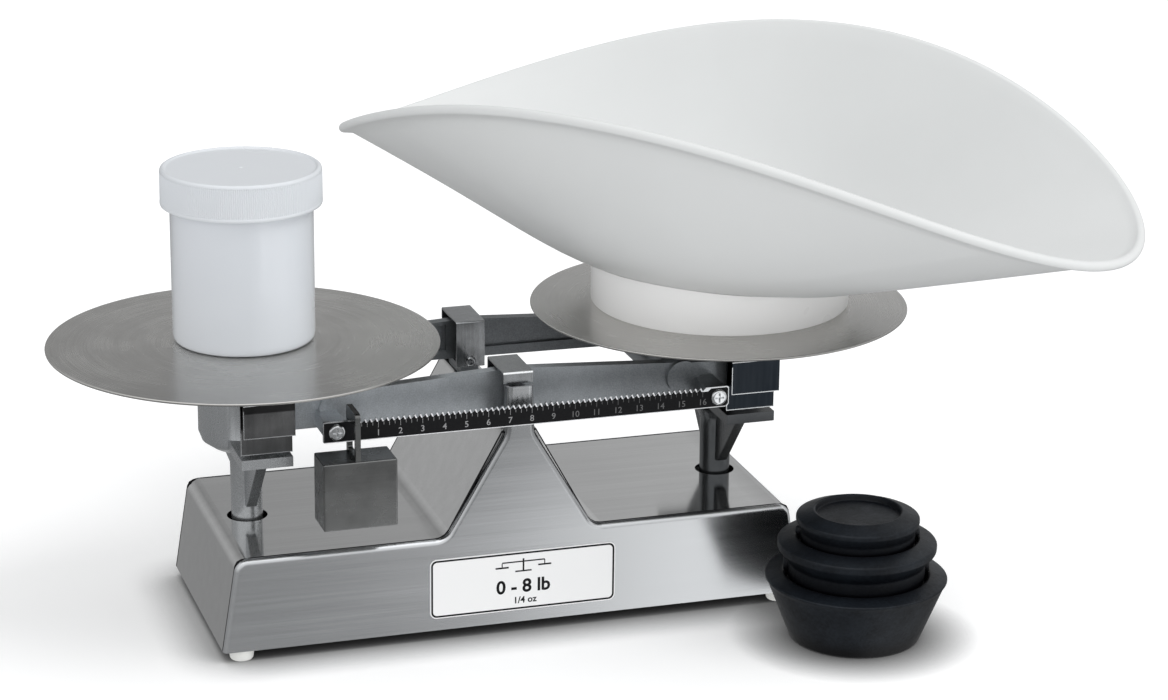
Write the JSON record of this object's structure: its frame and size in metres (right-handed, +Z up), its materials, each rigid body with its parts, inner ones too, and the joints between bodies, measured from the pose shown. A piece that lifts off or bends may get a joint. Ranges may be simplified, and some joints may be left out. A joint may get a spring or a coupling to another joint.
{
  "type": "two-pan bench balance",
  "caption": "Equal-arm bench balance with two round platforms, a notched tare bar with sliding rider, oval scoop, lidded counterbalance jar and stacked iron weights.",
  "frame": {"origin": "middle of the base on the supporting surface", "axes": "+X along the beam to the scoop side, +Y to the back, +Z up"},
  "size_m": [0.6136, 0.4646, 0.3127],
  "materials": {
    "stainless_base": "horizontally brushed stainless sheet",
    "stainless_plate": "fine circular brushed stainless",
    "galvanised": "plain sheet",
    "casting": "blue-grey speckled metallic finish on a casting",
    "ballast": "turned",
    "hardened_steel": "ground",
    "plated_sheet": "bright plated",
    "screw": "bright plated",
    "rider_metal": "nickel plated",
    "tare_bar": "black face with bright figures and edge",
    "foot_plastic": "translucent white",
    "label": "printed card, satin",
    "jar_plastic": "glossy white",
    "scoop_plastic": "satin off-white",
    "ring_plastic": "glossy white",
    "shot": "loose shot",
    "weight_iron": "matte black"
  },
  "bodies": {
    "base": {"base_cover": "stainless_base", "front_panel": "stainless_base", "rear_panel": "stainless_base", "label_plate": "label", "bottom_plate": "galvanised", "feet": "foot_plastic", "foot_screws": "screw", "fulcrum_supports": "galvanised", "front_fulcrum_bracket": "casting", "rear_fulcrum_bracket": "casting", "centre_bearings": "hardened_steel", "front_fulcrum_cap": "plated_sheet", "rear_fulcrum_cap": "plated_sheet", "cap_screws": "screw", "check_bracket": "galvanised", "check_centre_pin": "hardened_steel"},
    "beam": {"main_beam": "casting", "centre_knife_edges": "hardened_steel", "end_knife_edges": "hardened_steel", "beam_counterweight": "ballast", "tare_bar": "tare_bar", "tare_bar_screws": "screw"},
    "rider": {"rider_block": "rider_metal", "rider_bail": "rider_metal"},
    "left_platform": {"left_platform_casting": "casting", "left_bearings": "hardened_steel", "left_bearing_covers": "plated_sheet", "left_cover_spacers": "galvanised", "left_stem_pin": "hardened_steel"},
    "right_platform": {"right_platform_casting": "casting", "right_bearings": "hardened_steel", "right_bearing_covers": "plated_sheet", "right_cover_spacers": "galvanised", "right_stem_pin": "hardened_steel"},
    "left_plate": {"left_plate": "stainless_plate"},
    "right_plate": {"right_plate": "stainless_plate"},
    "check_rod": {"check_rod": "galvanised"},
    "jar": {"jar_body": "jar_plastic", "jar_shot": "shot"},
    "jar_lid": {"jar_lid": "jar_plastic"},
    "scoop": {"scoop": "scoop_plastic", "scoop_ring": "ring_plastic"},
    "weight_4lb": {"weight_4lb": "weight_iron"},
    "weight_2lb": {"weight_2lb": "weight_iron"},
    "weight_1lb": {"weight_1lb": "weight_iron"}
  },
  "joints": [
    {"name": "beam_tilt", "type": "hinge", "parent": "base", "child": "beam", "pos_m": [0, 0, 0.1475], "axis": [0, 1, 0], "range_deg": [-3, 3]},
    {"name": "left_platform_hang", "type": "hinge", "parent": "beam", "child": "left_platform", "pos_m": [-0.1465, 0, 0.146], "axis": [0, 1, 0], "range_deg": [-3, 3]},
    {"name": "right_platform_hang", "type": "hinge", "parent": "beam", "child": "right_platform", "pos_m": [0.1465, 0, 0.146], "axis": [0, 1, 0], "range_deg": [-3, 3]},
    {"name": "check_rod_tilt", "type": "hinge", "parent": "base", "child": "check_rod", "pos_m": [0, 0, 0.03], "axis": [0, 1, 0], "range_deg": [-3, 3]},
    {"name": "rider_slide", "type": "slide", "parent": "beam", "child": "rider", "axis": [1, 0, 0], "range_m": [0, 0.208]},
    {"name": "left_plate_lift", "type": "slide", "parent": "left_platform", "child": "left_plate", "axis": [0, 0, 1], "range_m": [0, 0.06]},
    {"name": "right_plate_lift", "type": "slide", "parent": "right_platform", "child": "right_plate", "axis": [0, 0, 1], "range_m": [0, 0.06]},
    {"name": "jar_lift", "type": "slide", "parent": "left_plate", "child": "jar", "axis": [0, 0, 1], "range_m": [0, 0.1]},
    {"name": "jar_lid_lift", "type": "slide", "parent": "jar", "child": "jar_lid", "axis": [0, 0, 1], "range_m": [0, 0.06]},
    {"name": "scoop_lift", "type": "slide", "parent": "right_plate", "child": "scoop", "axis": [0, 0, 1], "range_m": [0, 0.1]},
    {"name": "weight_4lb_lift", "type": "slide", "parent": "base", "child": "weight_4lb", "axis": [0.2599, -0.8597, 0.4398], "range_m": [0, 0.1]},
    {"name": "weight_2lb_lift", "type": "slide", "parent": "weight_4lb", "child": "weight_2lb", "axis": [0, 0, 1], "range_m": [0, 0.03]},
    {"name": "weight_1lb_lift", "type": "slide", "parent": "weight_2lb", "child": "weight_1lb", "axis": [0, 0, 1], "range_m": [0, 0.03]}
  ],
  "couplings": [
    {"joint": "left_platform_hang", "follows": "beam_tilt", "ratio": -1},
    {"joint": "right_platform_hang", "follows": "beam_tilt", "ratio": -1},
    {"joint": "check_rod_tilt", "follows": "beam_tilt", "ratio": 1}
  ]
}
